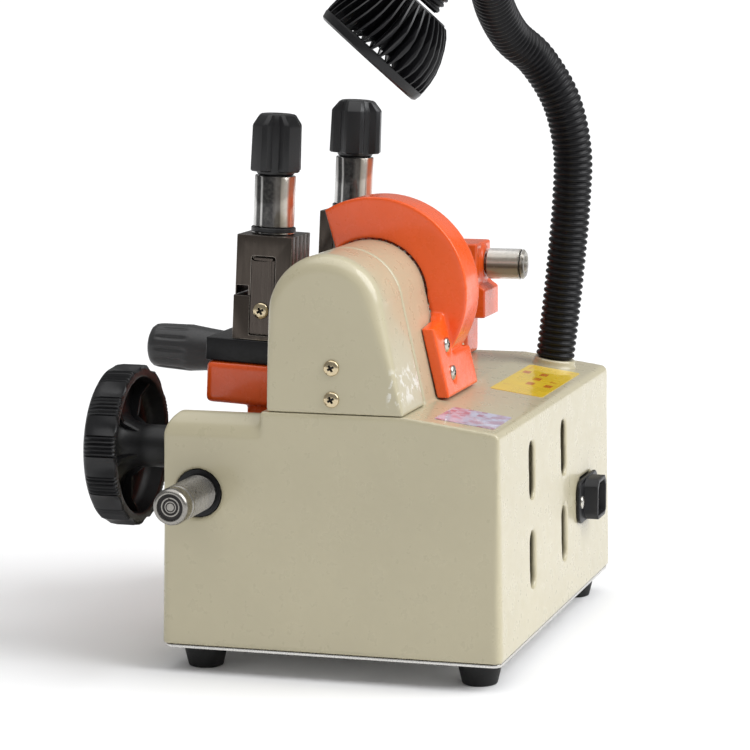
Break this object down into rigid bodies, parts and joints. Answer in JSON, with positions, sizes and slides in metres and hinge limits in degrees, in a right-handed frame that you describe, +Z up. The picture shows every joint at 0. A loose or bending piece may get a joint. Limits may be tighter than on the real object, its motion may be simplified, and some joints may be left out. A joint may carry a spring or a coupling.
{
  "type": "key duplicating machine",
  "caption": "Bench machine that copies flat keys: cutter and tracer, swinging carriage with paired vises on a sliding rack shaft, lamp on a gooseneck.",
  "frame": {"origin": "middle of the machine's plan outline, on the surface the feet stand on", "axes": "+X to the operator's right, +Y to the back, +Z up"},
  "size_m": [0.331, 0.2669, 0.3985],
  "materials": {
    "cream_enamel": "smooth enamel with a fine orange peel",
    "orange_enamel": "gloss enamel over a cast surface",
    "black_plastic": "moulded, satin",
    "rocker_red": "moulded, satin",
    "neck_plastic": "corrugated flexible sleeve, satin",
    "lamp_black": "finned housing, satin black",
    "lamp_glass": "frosted lens",
    "foot_rubber": "moulded rubber",
    "belt_rubber": "rubber belt",
    "black_oxide": "blackened steel",
    "vise_steel": "ground dark steel",
    "chrome": "polished",
    "bright_steel": "turned steel",
    "brass_zinc": "yellow zinc plate"
  },
  "bodies": {
    "base": {"base_casting": "cream_enamel", "bottom_plate": "bright_steel", "foot_front_right": "foot_rubber", "foot_front_left": "foot_rubber", "foot_back_right": "foot_rubber", "foot_back_left": "foot_rubber", "belt_cover": "cream_enamel", "belt_cover_screw_upper": "brass_zinc", "belt_cover_screw_lower": "brass_zinc", "cutter_guard": "orange_enamel", "guard_screw_upper": "bright_steel", "guard_screw_lower": "bright_steel", "spindle_bearing_left": "bright_steel", "spindle_bearing_right": "bright_steel", "motor": "black_oxide", "drive_belt": "belt_rubber", "tracer_bracket": "orange_enamel", "gooseneck_collar": "cream_enamel", "gooseneck_lower": "neck_plastic", "power_inlet": "black_plastic", "power_switch_frame": "black_plastic", "rack_bush_right": "black_oxide", "rack_bush_left": "black_oxide", "pinion_bush": "black_oxide"},
    "spindle_group": {"spindle": "bright_steel", "spindle_pulley": "bright_steel", "cutter_wheel": "bright_steel", "cutter_nut": "black_oxide"},
    "motor_rotor": {"motor_pulley": "bright_steel"},
    "rack": {"rack_shaft": "bright_steel"},
    "wheel_group": {"handwheel": "black_plastic", "handwheel_nut": "chrome", "pinion_shaft": "bright_steel"},
    "carriage": {"carriage_block": "orange_enamel", "clamp_plate": "black_oxide", "carriage_handle": "black_plastic", "vise_lower_jaw_right": "vise_steel", "vise_guide_right": "vise_steel", "vise_guide_screw_right": "brass_zinc", "vise_stud_right": "bright_steel", "vise_lower_jaw_left": "vise_steel", "vise_guide_left": "vise_steel", "vise_guide_screw_left": "brass_zinc", "vise_stud_left": "bright_steel"},
    "tracer": {"tracer_finger": "bright_steel"},
    "tracer_screw": {"tracer_knob": "chrome"},
    "rocker": {"switch_rocker": "rocker_red"},
    "neck": {"gooseneck_middle": "neck_plastic"},
    "lamp": {"gooseneck_upper": "neck_plastic", "lamp_housing": "lamp_black", "lamp_lens": "lamp_glass"},
    "jaw_right": {"vise_upper_jaw_right": "vise_steel", "vise_collar_right": "black_oxide", "vise_sleeve_right": "chrome"},
    "knob_right": {"vise_knob_right": "black_plastic"},
    "jaw_left": {"vise_upper_jaw_left": "vise_steel", "vise_collar_left": "black_oxide", "vise_sleeve_left": "chrome"},
    "knob_left": {"vise_knob_left": "black_plastic"}
  },
  "joints": [
    {"name": "carriage_slide", "type": "slide", "parent": "base", "child": "rack", "axis": [1, 0, 0], "range_m": [-0.034, 0.006]},
    {"name": "handwheel_turn", "type": "hinge", "parent": "base", "child": "wheel_group", "pos_m": [0.0765, -0.10154, 0.117], "axis": [0, 1, 0], "range_deg": [-52, 286]},
    {"name": "carriage_swing", "type": "hinge", "parent": "rack", "child": "carriage", "pos_m": [-0.0155, -0.04554, 0.1], "axis": [-1, 0, 0], "range_deg": [-8, 0], "stiffness_Nm_per_rad": 1.5, "springref_deg": 20.05},
    {"name": "spindle_turn", "type": "hinge", "parent": "base", "child": "spindle_group", "pos_m": [0.0225, 0.02546, 0.1995], "axis": [1, 0, 0], "continuous": true},
    {"name": "motor_turn", "type": "hinge", "parent": "base", "child": "motor_rotor", "pos_m": [0.0845, 0.04846, 0.075], "axis": [1, 0, 0], "continuous": true},
    {"name": "tracer_adjust", "type": "slide", "parent": "base", "child": "tracer", "axis": [0, 1, 0], "range_m": [-0.0011, 0.0011]},
    {"name": "tracer_screw_turn", "type": "hinge", "parent": "tracer", "child": "tracer_screw", "pos_m": [-0.1315, 0.06546, 0.20185], "axis": [0, 1, 0], "range_deg": [-540, 540]},
    {"name": "switch_rock", "type": "hinge", "parent": "base", "child": "rocker", "pos_m": [-0.15115, 0.04946, 0.09], "axis": [0, 0, 1], "range_deg": [-22, 0]},
    {"name": "neck_bend", "type": "hinge", "parent": "base", "child": "neck", "pos_m": [-0.11944, 0.10675, 0.2574], "axis": [1, 0, 0], "range_deg": [-12, 12]},
    {"name": "lamp_bend", "type": "hinge", "parent": "neck", "child": "lamp", "pos_m": [-0.0295, 0.07696, 0.373], "axis": [0, 1, 0], "range_deg": [-12, 12]},
    {"name": "right_jaw_lift", "type": "slide", "parent": "carriage", "child": "jaw_right", "axis": [0, 0.0471, 0.9989], "range_m": [0, 0.004]},
    {"name": "right_knob_turn", "type": "hinge", "parent": "jaw_right", "child": "knob_right", "pos_m": [0.0345, -0.02948, 0.24941], "axis": [0, 0.0471, 0.9989], "range_deg": [0, 1150]},
    {"name": "left_jaw_lift", "type": "slide", "parent": "carriage", "child": "jaw_left", "axis": [0, 0.0471, 0.9989], "range_m": [0, 0.004]},
    {"name": "left_knob_turn", "type": "hinge", "parent": "jaw_left", "child": "knob_left", "pos_m": [-0.1195, -0.02948, 0.24941], "axis": [0, 0.0471, 0.9989], "range_deg": [0, 1150]}
  ],
  "couplings": [
    {"joint": "handwheel_turn", "follows": "carriage_slide", "rad_per_m": -145.99},
    {"joint": "motor_turn", "follows": "spindle_turn", "ratio": 1.5442},
    {"joint": "tracer_screw_turn", "follows": "tracer_adjust", "rad_per_m": 8377.6},
    {"joint": "right_jaw_lift", "follows": "right_knob_turn", "m_per_rad": 0.00019894},
    {"joint": "left_jaw_lift", "follows": "left_knob_turn", "m_per_rad": 0.00019894}
  ]
}
